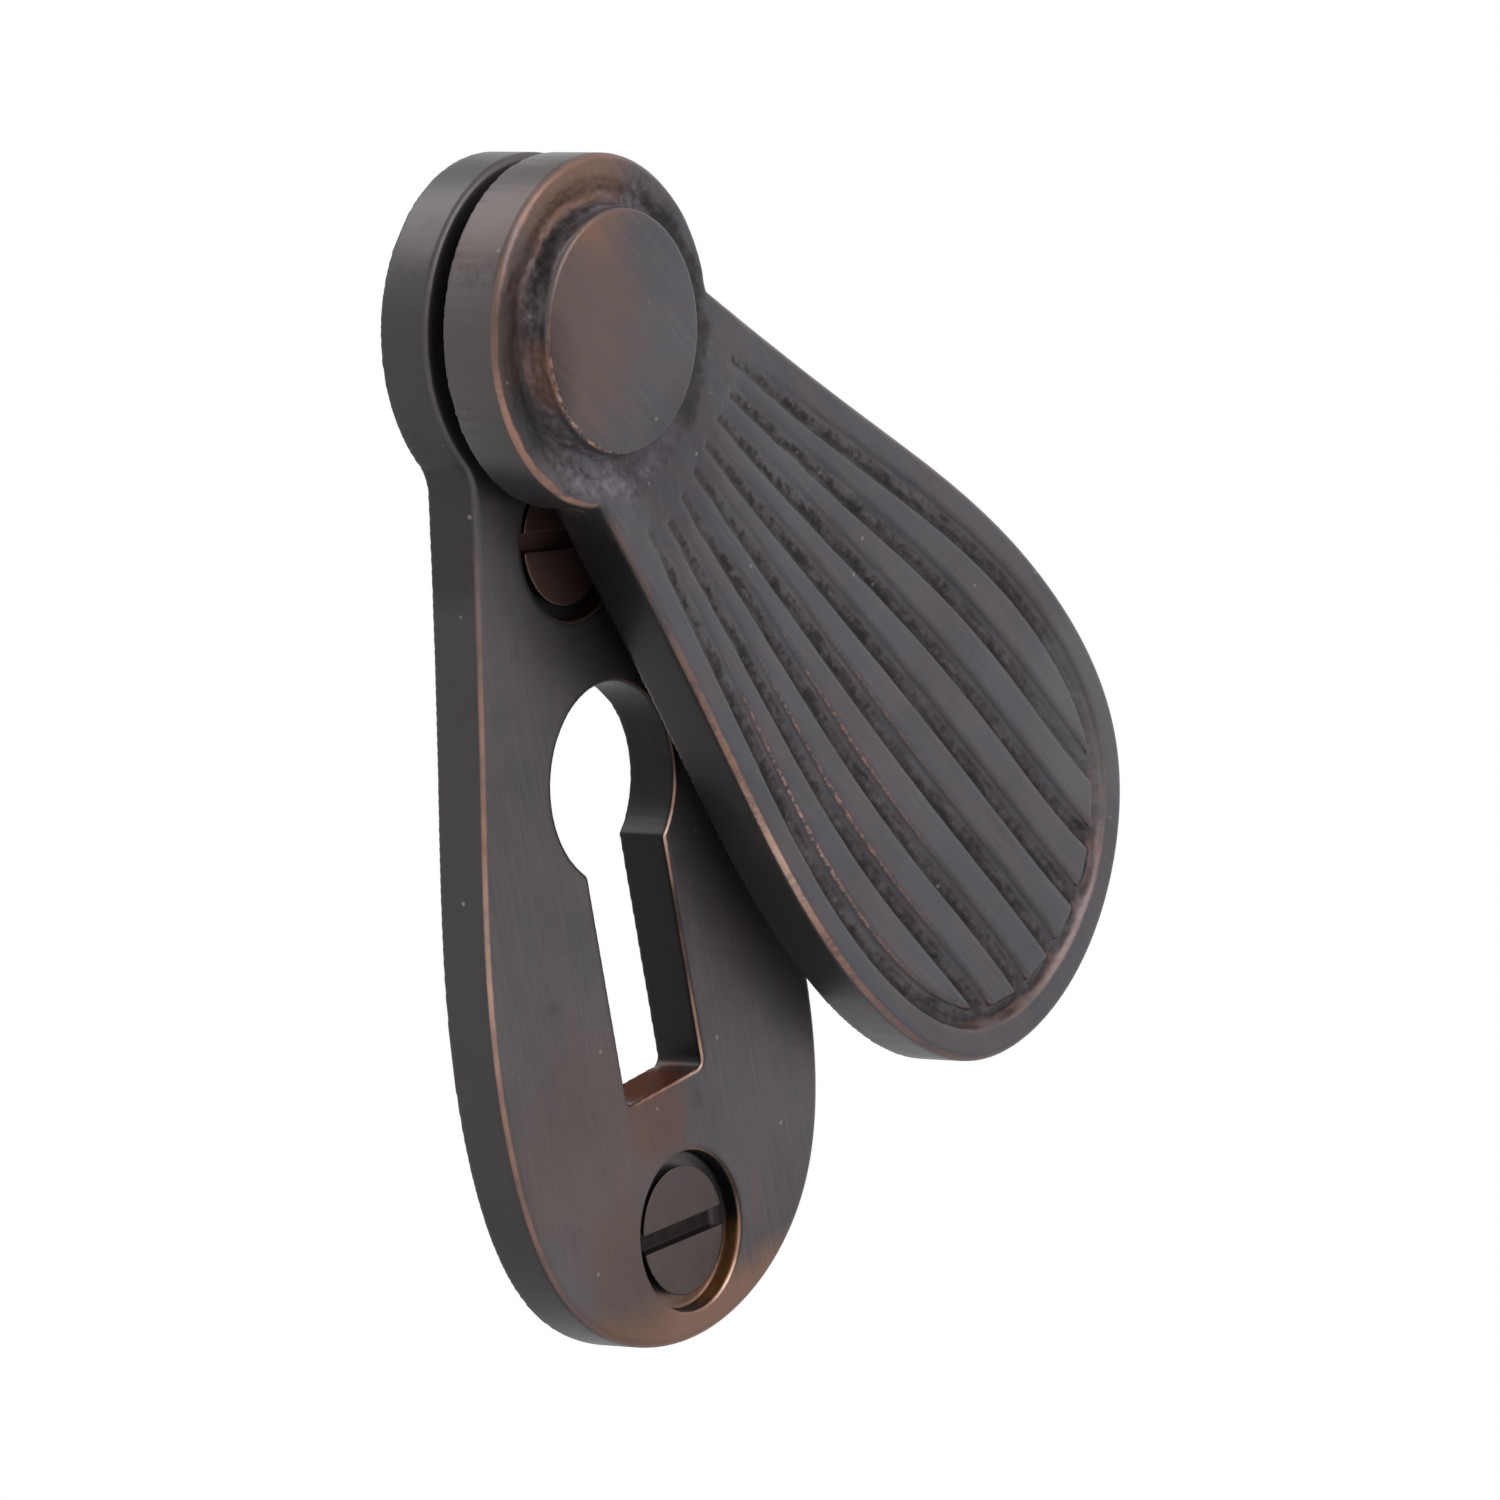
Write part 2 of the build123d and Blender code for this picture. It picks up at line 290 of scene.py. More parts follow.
def with_stains_and_painted_light(tree, see, base, stains_and_painted_light):
    """Stains, painted shade and painted highlights, where the patina is browner, greyer, darker or paler,
    broken by the brushing.

    Each has its kind of surface, its middle, the distances that leave none and all of it, its strength
    and its colour. On a sill it tints the glancing reflection as well, dimming it as painted shade.
    """
    flat = add(tree, MATH, {0: 1.0, 1: see["turned_away"]}, operation="SUBTRACT")["Value"]
    surfaces = {"face": flat, "side": see["turned_away"], "sill": see["turned_away"], "ring": see["ring"]}
    broken = add(tree, MATH, {0: see["haze"], 1: see["brush"]}, operation="ADD")["Value"]
    glance = linear(NO_TINT)
    for surface, middle, none, full, strength, colour in stains_and_painted_light:
        apart = add(tree, VECTOR, {0: see["place"], 1: Vector(middle) * MM}, operation="DISTANCE")["Value"]
        amount = faded(tree, broken, [(apart, none * MM, full * MM)])
        amount = add(tree, RANGE, {"Value": amount, "From Min": 0.1, "From Max": 0.6, "To Max": strength},
                     interpolation_type="SMOOTHSTEP")["Result"]
        amount = add(tree, MATH, {0: amount, 1: surfaces[surface]}, operation="MULTIPLY")["Value"]
        base = add(tree, MIX, {"Factor": amount, "A": base, "B": linear(colour)}, data_type="RGBA")["Result"]
        # The sill's tint dims its glancing reflection: painted shade
        if surface == "sill":
            glance = add(tree, MIX, {"Factor": amount, "A": glance, "B": linear(colour)},
                         data_type="RGBA")["Result"]
    return base, glance


def rubbed_edges(tree, see, base, copper, dots, rubbed):
    """Edges rubbed to copper, the outline all round and finer edges where they are handled.

    Each rubbed spot has its middle and its reach, and is brighter than the rest. Flat faces stay dark.
    """
    little = 0.25
    handled = little
    for middle, reach in rubbed:
        near = add(tree, VECTOR, {0: see["place"], 1: Vector(middle) * MM}, operation="DISTANCE")["Value"]
        near = add(tree, RANGE, {"Value": near, "From Min": reach * MM, "From Max": 0,
                                 "To Max": 0.8})["Result"]
        handled = add(tree, MATH, {0: handled, 1: near}, operation="ADD")["Value"]
    bright = add(tree, RANGE, {"Value": handled, "From Min": 0.75, "From Max": 1.05})["Result"]
    metal = add(tree, MIX, {"Factor": bright, "A": linear(COPPER), "B": linear(BRIGHT_COPPER)},
                data_type="RGBA")["Result"]

    # The rounding between a face and a side, by its tilt
    tilt = add(tree, "ShaderNodeNewGeometry")["Normal"]
    tilt = add(tree, "ShaderNodeSeparateXYZ", {0: tilt})["Y"]
    tilt = add(tree, MATH, {0: tilt}, operation="ABSOLUTE")["Value"]
    band = faded(tree, copper, [(tilt, 0.3, 0.6), (tilt, 0.985, 0.85)], interpolation_type="SMOOTHSTEP")

    # The outline wears unevenly, and finer edges in sparks
    spark = add(tree, RANGE, {"Value": see["spark"], "From Min": 0.43, "From Max": 0.64})["Result"]
    spark = add(tree, MIX, {"Factor": dots, "A": see["uneven"], "B": spark})["Result"]
    fine = add(tree, MATH, {0: see["wear"], 1: handled}, operation="MULTIPLY")["Value"]
    thin = add(tree, RANGE, {"Value": handled, "From Min": little, "From Max": 0.6,
                             "To Min": little})["Result"]
    thin = add(tree, MATH, {0: see["uneven"], 1: thin}, operation="MULTIPLY")["Value"]
    for value, start, end, broken_by in ((see["rim"], 0.78, 0.92, thin), (fine, 0.3, 0.7, spark)):
        edge = faded(tree, band, [(value, start, end)], interpolation_type="SMOOTHSTEP")
        edge = add(tree, MATH, {0: edge, 1: broken_by}, operation="MULTIPLY")["Value"]
        base = add(tree, MIX, {"Factor": edge, "A": base, "B": metal}, data_type="RGBA")["Result"]
    lip = add(tree, MATH, {0: see["lip"], 1: thin}, operation="MULTIPLY")["Value"]
    return add(tree, MIX, {"Factor": lip, "A": base, "B": linear(LIP_COPPER)}, data_type="RGBA")["Result"]


def dusted(tree, see, base):
    """A few specks of dust."""
    speck = add(tree, "ShaderNodeTexVoronoi", {"Vector": see["place"],
                                               "Scale": 1 / (DUST_SPACING * MM)})["Distance"]
    speck = add(tree, RANGE, {"Value": speck, "From Min": DUST_RADIUS / DUST_SPACING, "From Max": 0,
                              "To Max": 0.7})["Result"]
    return add(tree, MIX, {"Factor": speck, "A": base, "B": linear(DUST_GREY)}, data_type="RGBA")["Result"]


def oil_rubbed_bronze(name, light, dark, side, skin, copper, dots, brush_turn=0, brush_depth=0.0, blush=0.0,
                      rubbed=(), stains_and_painted_light=()):
    """Cast brass under a dark oiled patina, relieved by hand.

    Faces are satin, clouded and faintly brushed. Edges are rubbed to copper. Hollows stay dull and rough.
    """
    material, tree = new_material(name)
    see = finish_patterns(tree, brush_turn)
    base = patina(tree, see, light, dark, side, brush_depth, blush)
    base, dull = mould_skin(tree, see, base, skin)
    base, glance = with_stains_and_painted_light(tree, see, base, stains_and_painted_light)
    base = rubbed_edges(tree, see, base, copper, dots, rubbed)
    base = dusted(tree, see, base)
    rough = add(tree, RANGE, {"Value": dull, "To Min": 0.4, "To Max": 0.65})["Result"]
    height = add(tree, MATH, {0: see["brush"], 1: brush_depth}, operation="MULTIPLY")["Value"]
    height = add(tree, MATH, {0: see["grit"], 1: height}, operation="ADD")["Value"]
    normal = add(tree, "ShaderNodeBump", {"Height": height, "Strength": 0.3,
                                          "Distance": BUMP_DEPTH * MM})["Normal"]
    shader = add(tree, "ShaderNodeBsdfPrincipled", {"Base Color": base, "Metallic": 0.85, "Roughness": rough,
                                                    "Specular Tint": glance, "Normal": normal})["BSDF"]
    add(tree, "ShaderNodeOutputMaterial", {"Surface": shader})
    return material


# Brushed plate: grey-brown, with copper at the keyhole's lower corner and shoulder, at the lower screw's
# hole and down the left. Brown stain lies along the bottom, under the slot and in it, and at the lower left.
# Painted light and shade: a golden highlight in the lower screw's hole, a red-brown made paler as painted
# light in the shaded upper screw's hole, a dimmed glancing reflection in the slot, a painted shadow under
# the cover's head, and painted shade that dims the lamps' highlight on the head's upper left side and the
# neck's side.
plate_bronze = oil_rubbed_bronze(
    "brushed_oil_rubbed_bronze", light="#595556", dark="#4c494b", side="#434041",
    skin=("#3f3838", "#2c2727"), copper=0.85, dots=0.3, brush_depth=0.15, blush=0.22,
    rubbed=(((2.4, PLATE_FACE, -14.3), 4.5), ((3.2, PLATE_FACE, -3.2), 3.0),
            ((1.8, PLATE_FACE, -24.2), 4.0), ((-14.0, PLATE_FACE, -5.0), 18.0)),
    stains_and_painted_light=(("face", (3.0, PLATE_FACE, 30.0), 52.7, 56.5, 0.75, "#866452"),
            ("face", (-0.9, PLATE_FACE, -15.4), 3.2, 0.0, 0.6, "#64453a"),
            # Brown in the slot, whose glancing reflection is dimmed as painted shade
            ("sill", (0.0, -1.0, -14.6), 3.5, 0.0, 0.95, "#5a3424"),
            # Painted golden highlight on the lower right wall of the lower screw's hole
            ("side", (2.2, -2.2, -23.8), 3.0, 0.0, 0.9, "#9a6e44"),
            ("face", (-6.0, PLATE_FACE, -15.0), 8.0, 0.0, 0.25, "#6b524b"),
            ("face", (-5.0, PLATE_FACE, -22.0), 5.0, 0.0, 0.5, "#5d4740"),
            # Painted shadow of the cover's head on the plate's face
            ("face", (0.0, PLATE_FACE, 10.0), 8.0, 0.0, 0.5, "#302e30"),
            # Red-brown, made paler as painted light, in the upper screw's hole where the cover shades it
            ("side", (0.0, -2.2, UPPER_SCREW_HEIGHT), 5.0, 3.0, 0.9, "#5f3f36"),
            # Painted shade: dims the lamps' highlight on the head's upper left side and on the neck's side
            ("side", (-3.8, -1.3, 27.9), 5.2, 1.5, 0.75, "#312e2e"),
            ("side", (-6.0, -1.3, 14.2), 5.0, 1.5, 0.6, "#312e2e")))

# Cast cover: greyer and smoother on the reeds, rough and purple-grey in the grooves, with copper down the
# left. Brown stain lies on the boss, on its side and at the top of the head, and dark stain at the neck. It
# is darker left of the ring and in the ring's right. Painted shadow lies under the boss's lower left,
# painted shade on the head's upper left side and on the left flank, and a painted highlight pales the right
# rim.
cover_bronze = oil_rubbed_bronze(
    "cast_oil_rubbed_bronze", light="#555459", dark="#4c4b50", side="#524e4e",
    skin=("#5c575a", "#443f42"), copper=1.0, dots=1.0, brush_turn=-SWING_ANGLE, brush_depth=0.15, blush=0.25,
    rubbed=(((6.4, COVER_FACE, -5.5), 14.0), ((-4.8, -7.0, 18.0), 6.0)),
    stains_and_painted_light=(("face", (-4.0, BOSS_FACE, 22.5), 8.0, 0.0, 0.6, "#68534b"),
            ("face", (-0.5, COVER_FACE, 29.0), 6.0, 0.0, 0.8, "#7a5d4f"),
            ("face", (-7.2, COVER_FACE, 21.5), 5.0, 0.0, 0.9, "#473b39"),
            ("face", (3.5, COVER_FACE, 14.2), 5.0, 0.0, 0.7, "#464147"),
            # Painted shadow in the ring under the boss's lower left
            ("face", (-6.0, -6.0, 18.8), 3.0, 0.0, 0.8, "#3b3a3d"),
            ("side", (-5.3, -7.4, 20.4), 2.6, 0.0, 0.5, "#8a6350"),
            ("ring", (8.0, -6.0, 20.0), 8.0, 3.0, 0.8, "#353235"),
            # Painted shade on the left flank, which faces down towards the plate
            ("side", (5.5, -4.9, 6.0), 13.0, 4.0, 0.6, "#1f1d1d"),
            # Painted shade that dims the lamps' highlight on the head's upper left side
            ("side", (-3.8, -5.0, 27.9), 5.2, 1.5, 0.85, "#352e2d"),
            # Painted highlight that pales the right rim
            ("face", (32.0, COVER_FACE, -6.0), 7.0, 2.0, 0.6, "#626163")))

# Turned screws: browner, with slots painted dark as shade and little copper, and the upper one browner
# still, and paler as painted light where the cover shades it
screw_bronze = oil_rubbed_bronze(
    "turned_oil_rubbed_bronze", light="#504640", dark="#463d3a", side="#3c3431",
    skin=("#38302c", "#272120"), copper=0.25, dots=1.0, brush_depth=0.05, blush=0.1,
    # Browner, and paler as painted light where the cover shades the upper screw
    stains_and_painted_light=(("face", (0.0, -2.2, UPPER_SCREW_HEIGHT), 5.0, 2.0, 0.6, "#6e5048"),))

# Blackened washer, hidden in the gap between the heads: plain and nearly black
black_bronze = oil_rubbed_bronze(
    "blackened_bronze", light="#1a1717", dark="#141111", side="#141111",
    skin=("#141111", "#0f0d0d"), copper=0.0, dots=0.0)


# Geometry nodes: pieces are worked in millimetres and go back to metres when they are finished

def new_tree(name, sizes):
    """A geometry nodes tree with a named input for each size and for its finish, and the inputs' sockets."""
    tree = bpy.data.node_groups.new(name, "GeometryNodeTree")
    kinds = [("Geometry", "NodeSocketGeometry")] + [(size, "NodeSocketFloat") for size in sizes]
    for socket, kind in kinds + [("Finish", "NodeSocketMaterial")]:
        tree.interface.new_socket(socket, in_out="INPUT", socket_type=kind)
    tree.interface.new_socket("Geometry", in_out="OUTPUT", socket_type="NodeSocketGeometry")
    return tree, add(tree, "NodeGroupInput")


def end_tree(tree, given, mesh):
    """Ends a tree with real geometry in its finish."""
    mesh = add(tree, "GeometryNodeRealizeInstances", {"Geometry": mesh})["Geometry"]
    mesh = add(tree, "GeometryNodeSetMaterial", {"Geometry": mesh, "Material": given["Finish"]})["Geometry"]
    add(tree, "NodeGroupOutput", {"Geometry": mesh})


def skin_fields(tree, given):
    """What the cast skin follows: a point's place and way, its arm from the pivot and a hand's reach."""
    at = {"place": add(tree, "GeometryNodeInputPosition")["Position"],
          "normal": add(tree, "GeometryNodeInputNormal")["Normal"]}
    way = add(tree, "ShaderNodeSeparateXYZ", {0: at["normal"]})
    spot = add(tree, "ShaderNodeSeparateXYZ", {0: at["place"]})
    at.update(way_x=way["X"], way_y=way["Y"], x=spot["X"], y=spot["Y"])
    at["level"] = add(tree, MATH, {0: way["Y"]}, operation="ABSOLUTE")["Value"]
    at["leaning"] = add(tree, VECTOR, {0: at["normal"], 1: RUBBED_WAY}, operation="DOT_PRODUCT")["Value"]
    arm = add(tree, VECTOR, {0: at["place"], 1: (0, 0, PIVOT_HEIGHT)}, operation="SUBTRACT")["Vector"]
    at["arm"] = add(tree, VECTOR, {0: arm, 1: (1, 0, 1)}, operation="MULTIPLY")["Vector"]
    at["radius"] = add(tree, VECTOR, {0: at["arm"]}, operation="LENGTH")["Value"]
    open_from = add(tree, MATH, {0: given["Sheltered"], 1: SHELTER_FADE}, operation="ADD")["Value"]
    at["reached"] = add(tree, RANGE, {"Value": at["radius"], "From Min": given["Sheltered"],
                                      "From Max": open_from})["Result"]
    at["outline"] = add(tree, COMPARE, {"A": at["y"], "B": given["Outline Level"]},
                        operation="GREATER_THAN")["Result"]
    return at


def rounded_head(tree, given, at):
    """Brings the side of a head from the flats of the mesh to a true round."""
    off_round = add(tree, MATH, {0: given["Round Head"], 1: at["radius"]}, operation="SUBTRACT")["Value"]
    far_off = add(tree, MATH, {0: off_round}, operation="ABSOLUTE")["Value"]
    drawn_out = add(tree, MATH, {0: off_round, 1: at["radius"]}, operation="DIVIDE")["Value"]
    drawn_out = faded(tree, drawn_out, [(at["level"], 0.5, 0.2), (far_off, FLATS_REACH, FLATS_REACH / 2)])
    shift = add(tree, VECTOR, {0: at["arm"], "Scale": drawn_out}, operation="SCALE")["Vector"]
    return add(tree, "GeometryNodeSetPosition", {"Geometry": given["Geometry"], "Offset": shift})["Geometry"]


def rim_and_hollow(tree, given, at):
    """Against the wider surface: proud along the outline, and sunk in grooves and slots."""
    wide = add(tree, BLUR, {"Value": at["place"], "Iterations": WIDE_STEPS},
               data_type="FLOAT_VECTOR")["Value"]
    facing = add(tree, BLUR, {"Value": at["normal"], "Iterations": WIDE_STEPS},
                 data_type="FLOAT_VECTOR")["Value"]
    rise = add(tree, VECTOR, {0: at["place"], 1: wide}, operation="SUBTRACT")["Vector"]
    rise = add(tree, VECTOR, {0: rise, 1: facing}, operation="DOT_PRODUCT")["Value"]
    rim = add(tree, MATH, {0: rise, 1: given["Rim Rise"]}, operation="DIVIDE", use_clamp=True)["Value"]
    rim = add(tree, MATH, {0: rim, 1: at["reached"]}, operation="MULTIPLY")["Value"]
    rim = faded(tree, rim, [(at["way_y"], 0.2, -0.2)])
    rim = add(tree, MATH, {0: rim, 1: at["outline"]}, operation="MULTIPLY")["Value"]

    # A slot counts as a hollow from its dim level down, as far as it is deep, so it is painted dark as shade
    sunk = add(tree, MATH, {0: rise, 1: -1.0}, operation="MULTIPLY")["Value"]
    hollow = add(tree, MATH, {0: sunk, 1: given["Hollow Depth"]}, operation="DIVIDE",
                 use_clamp=True)["Value"]
    dim_end = add(tree, MATH, {0: given["Dim Level"], 1: SLOT_DEPTH}, operation="ADD")["Value"]
    below = add(tree, COMPARE, {"A": at["y"], "B": given["Dim Level"]}, operation="GREATER_THAN")["Result"]
    above = add(tree, COMPARE, {"A": at["y"], "B": dim_end}, operation="LESS_THAN")["Result"]
    dim = add(tree, MATH, {0: below, 1: above}, operation="MULTIPLY")["Value"]
    hollow = add(tree, MATH, {0: hollow, 1: dim}, operation="MAXIMUM")["Value"]
    return rim, hollow


def rough_ring(tree, given, at):
    """Ring round the boss that was left as cast, with a ragged outer edge, wider towards the fan."""
    ragged = add(tree, NOISE, {"Vector": at["place"], "Scale": 1 / RAGGED_SIZE, "Detail": 3})["Fac"]
    ragged = add(tree, RANGE, {"Value": ragged, "From Min": 0.3, "From Max": 0.7, "To Min": -RAGGED_DEPTH,
                               "To Max": RAGGED_DEPTH}, clamp=False)["Result"]
    ragged = add(tree, MATH, {0: at["radius"], 1: ragged}, operation="ADD")["Value"]
    wider = add(tree, VECTOR, {0: at["arm"], 1: FAN_WAY}, operation="DOT_PRODUCT")["Value"]
    wider = add(tree, RANGE, {"Value": wider, "From Max": RING_WIDER_FROM, "To Max": RING_WIDER})["Result"]
    ragged = add(tree, MATH, {0: ragged, 1: wider}, operation="SUBTRACT")["Value"]
    within = add(tree, COMPARE, {"A": ragged, "B": given["Ring Outer"]}, operation="LESS_THAN")["Result"]
    beyond = add(tree, COMPARE, {"A": at["radius"], "B": given["Ring Inner"]},
                 operation="GREATER_THAN")["Result"]
    front = add(tree, COMPARE, {"A": at["way_y"], "B": 0.3}, operation="LESS_THAN")["Result"]
    ring = add(tree, MATH, {0: beyond, 1: within}, operation="MULTIPLY")["Value"]
    ring = add(tree, MATH, {0: ring, 1: front}, operation="MULTIPLY")["Value"]
    return add(tree, BLUR, {"Value": ring, "Iterations": RING_STEPS})["Value"]


def eased(tree, given, at, mesh, slope, hollow, ring):
    """Eases the ring all over, and the grooves most on the wall that faces the rubbed side."""
    filled = add(tree, RANGE, {"Value": slope, "From Min": -0.08, "From Max": 0.08,
                               "To Min": given["Steep Fill"], "To Max": given["Gentle Fill"]})["Result"]
    spread = add(tree, BLUR, {"Value": hollow, "Iterations": SPREAD_STEPS})["Value"]
    filled = faded(tree, filled, [(spread, 0.0, 0.15)])
    filled = add(tree, MATH, {0: filled, 1: ring}, operation="MAXIMUM")["Value"]
    even = add(tree, BLUR, {"Value": at["place"], "Iterations": EASE_STEPS},
               data_type="FLOAT_VECTOR")["Value"]
    even = add(tree, MIX, {"Factor": filled, "A": at["place"], "B": even}, data_type="VECTOR")["Result"]
    return add(tree, "GeometryNodeSetPosition", {"Geometry": mesh, "Position": even})["Geometry"]


def fine_edges(tree, given, at):
    """Fine edges: proud of their near neighbours, most on the rubbed side."""
    near = add(tree, BLUR, {"Value": at["place"], "Iterations": NEAR_STEPS},
               data_type="FLOAT_VECTOR")["Value"]
    near = add(tree, VECTOR, {0: at["place"], 1: near}, operation="SUBTRACT")["Vector"]
    wear = add(tree, VECTOR, {0: near, 1: at["normal"]}, operation="DOT_PRODUCT")["Value"]
    wear = add(tree, MATH, {0: wear, 1: given["Edge Rise"]}, operation="DIVIDE", use_clamp=True)["Value"]
    wear = add(tree, MATH, {0: wear, 1: at["reached"]}, operation="MULTIPLY")["Value"]
    side = add(tree, RANGE, {"Value": at["leaning"], "From Min": -0.1, "From Max": 0.15,
                             "To Min": given["Far Edges"]})["Result"]
    return add(tree, MATH, {0: wear, 1: side}, operation="MULTIPLY")["Value"]


def fan_lip(tree, given, at):
    """Lip below the reeds: the wall that faces the middle of the fan, at its lower right."""
    inwards = add(tree, VECTOR, {0: FAN_MIDDLE, 1: at["place"]}, operation="SUBTRACT")["Vector"]
    inwards = add(tree, VECTOR, {0: inwards, 1: (1, 0, 1)}, operation="MULTIPLY")["Vector"]
    apart = add(tree, VECTOR, {0: inwards}, operation="LENGTH")["Value"]
    inwards = add(tree, VECTOR, {0: inwards}, operation="NORMALIZE")["Vector"]
    facing_in = add(tree, VECTOR, {0: inwards, 1: at["normal"]}, operation="DOT_PRODUCT")["Value"]
    below = add(tree, VECTOR, {0: inwards, 1: FAN_WAY}, operation="DOT_PRODUCT")["Value"]
    lip_end = FAN_RADIUS + LIP_WIDTH
    return faded(tree, given["Lip"], [(facing_in, 0.15, 0.45), (below, -0.35, -0.65),
                                      (apart, FAN_RADIUS - LIP_FADE, FAN_RADIUS),
                                      (apart, lip_end + LIP_FADE, lip_end)])


def roughened(tree, given, at, mesh, hollow, ring):
    """Skin of the mould: a fine grain in hollows and at the neck, and a slower waver that frays edges."""
    frayed = add(tree, BLUR, {"Value": hollow, "Iterations": FRAY_STEPS})["Value"]
    pitted = add(tree, RANGE, {"Value": at["radius"], "From Min": given["Grooves Faint"],
                               "From Max": given["Grooves Full"], "To Min": given["Pitted"],
                               "To Max": 0.0})["Result"]
    level_face = add(tree, COMPARE, {"A": at["way_y"], "B": -0.9}, operation="LESS_THAN")["Result"]
    pitted = add(tree, MATH, {0: pitted, 1: level_face}, operation="MULTIPLY")["Value"]
    pitted = add(tree, MATH, {0: pitted, 1: at["outline"]}, operation="MULTIPLY")["Value"]
    pitted = add(tree, BLUR, {"Value": pitted, "Iterations": FRAY_STEPS})["Value"]
    frayed = add(tree, MATH, {0: frayed, 1: pitted}, operation="MAXIMUM")["Value"]
    for size, height, in_ring in (("Grain Size", "Grain Height", 1.2), ("Fray Size", "Fray Height", 0.5)):
        scale = add(tree, MATH, {0: 1.0, 1: given[size]}, operation="DIVIDE")["Value"]
        grain = add(tree, NOISE, {"Vector": at["place"], "Scale": scale, "Detail": 1})["Color"]
        grain = add(tree, VECTOR, {0: grain, 1: (0.5, 0.5, 0.5)}, operation="SUBTRACT")["Vector"]
        depth = add(tree, RANGE, {"Value": ring, "To Min": 1.0, "To Max": in_ring})["Result"]
        depth = add(tree, MATH, {0: depth, 1: given[height]}, operation="MULTIPLY")["Value"]
        depth = add(tree, MATH, {0: depth, 1: frayed}, operation="MULTIPLY")["Value"]
        shift = add(tree, VECTOR, {0: grain, "Scale": depth}, operation="SCALE")["Vector"]
        mesh = add(tree, "GeometryNodeSetPosition", {"Geometry": mesh, "Offset": shift})["Geometry"]
    return mesh


def cast_skin_tree():
    """The skin of a casting: marks edges, hollows and sides, eases what was left as cast and roughens it."""
    tree, given = new_tree("cast_skin", (
        "Round Head", "Ring Inner", "Ring Outer", "Grooves Faint", "Grooves Full", "Sheltered", "Edge Rise",
        "Rim Rise", "Far Edges", "Lip", "Outline Level", "Hollow Depth", "Dim Level", "Steep Fill",
        "Gentle Fill", "Pitted", "Grain Size", "Grain Height", "Fray Size", "Fray Height", "Hole Shade"))
    at = skin_fields(tree, given)
    mesh = rounded_head(tree, given, at)

    # Marks of the shape before it is eased, among them the wall of each groove that gets painted shadow
    rim, hollow = rim_and_hollow(tree, given, at)
    ring = rough_ring(tree, given, at)
    slope = add(tree, BLUR, {"Value": at["leaning"], "Iterations": SLOPE_STEPS})["Value"]
    shade = add(tree, RANGE, {"Value": slope, "From Min": 0.0, "From Max": -0.1, "To Max": 0.95})["Result"]
    for name, value in (("rim", rim), ("hollow", hollow), ("ring", ring), ("shade", shade)):
        mesh = add(tree, STORE, {"Geometry": mesh, "Name": name, "Value": value})["Geometry"]
    hollow, ring = (add(tree, "GeometryNodeInputNamedAttribute", {"Name": name})["Attribute"]
                    for name in ("hollow", "ring"))
    mesh = eased(tree, given, at, mesh, slope, hollow, ring)

    # Turned away from the front, for painted shade: sides, and walls of holes, whose normals point to the
    # middle line
    side = add(tree, RANGE, {"Value": at["level"], "From Min": 0.8, "From Max": 0.3})["Result"]
    inward = add(tree, MATH, {0: at["way_x"], 1: at["x"]}, operation="MULTIPLY")["Value"]
    inward = faded(tree, given["Hole Shade"], [(inward, 0, -1)])

    # Marks of the eased shape
    wear = fine_edges(tree, given, at)
    lip = fan_lip(tree, given, at)
    skinned = add(tree, MATH, {0: ring, 1: hollow}, operation="MAXIMUM")["Value"]
    for name, value in (("wear", wear), ("turned_away", side), ("hole_wall", inward), ("hollow", skinned),
                        ("lip", lip)):
        mesh = add(tree, STORE, {"Geometry": mesh, "Name": name, "Value": value})["Geometry"]
    mesh = roughened(tree, given, at, mesh, hollow, ring)
    mesh = add(tree, "GeometryNodeSetShadeSmooth", {"Geometry": mesh})["Geometry"]
    end_tree(tree, given, mesh)
    return tree


def turned_blank(tree, given):
    """Turned blank of a screw, and the depth where its core begins.

    The head's face is drawn out step by step, and each new end is scaled to its radius.
    """
    face = add(tree, "GeometryNodeMeshCircle", {"Vertices": SCREW_FLATS, "Radius": given["Head Radius"]},
               fill_type="NGON")["Mesh"]
    blank = face
    end = True
    before = given["Head Radius"]
    reach = 0.0
    for radius, depth in (("Head Radius", "Head Land"), ("Shank Radius", "Cone Depth"),
                          ("Shank Radius", "Shank Depth"), ("Core Radius", None),
                          ("Core Radius", "Core Depth"), ("Point Radius", "Point Depth")):
        if depth == "Core Depth":
            core_start = reach
        length = given[depth] if depth else 0.0
        drawn = add(tree, "GeometryNodeExtrudeMesh", {"Mesh": blank, "Selection": end,
                                                      "Offset Scale": length})
        reach = add(tree, MATH, {0: reach, 1: length}, operation="ADD")["Value"]
        end = drawn["Top"]
        ratio = add(tree, MATH, {0: given[radius], 1: before}, operation="DIVIDE")["Value"]
        before = given[radius]
        blank = add(tree, "GeometryNodeScaleElements", {"Geometry": drawn["Mesh"], "Selection": end,
                                                        "Scale": ratio})["Geometry"]
    cap = add(tree, "GeometryNodeFlipFaces", {"Mesh": face})["Mesh"]
    blank = add(tree, "GeometryNodeJoinGeometry", {"Geometry": [blank, cap]})["Geometry"]
    return add(tree, "GeometryNodeMergeByDistance", {"Geometry": blank})["Geometry"], core_start


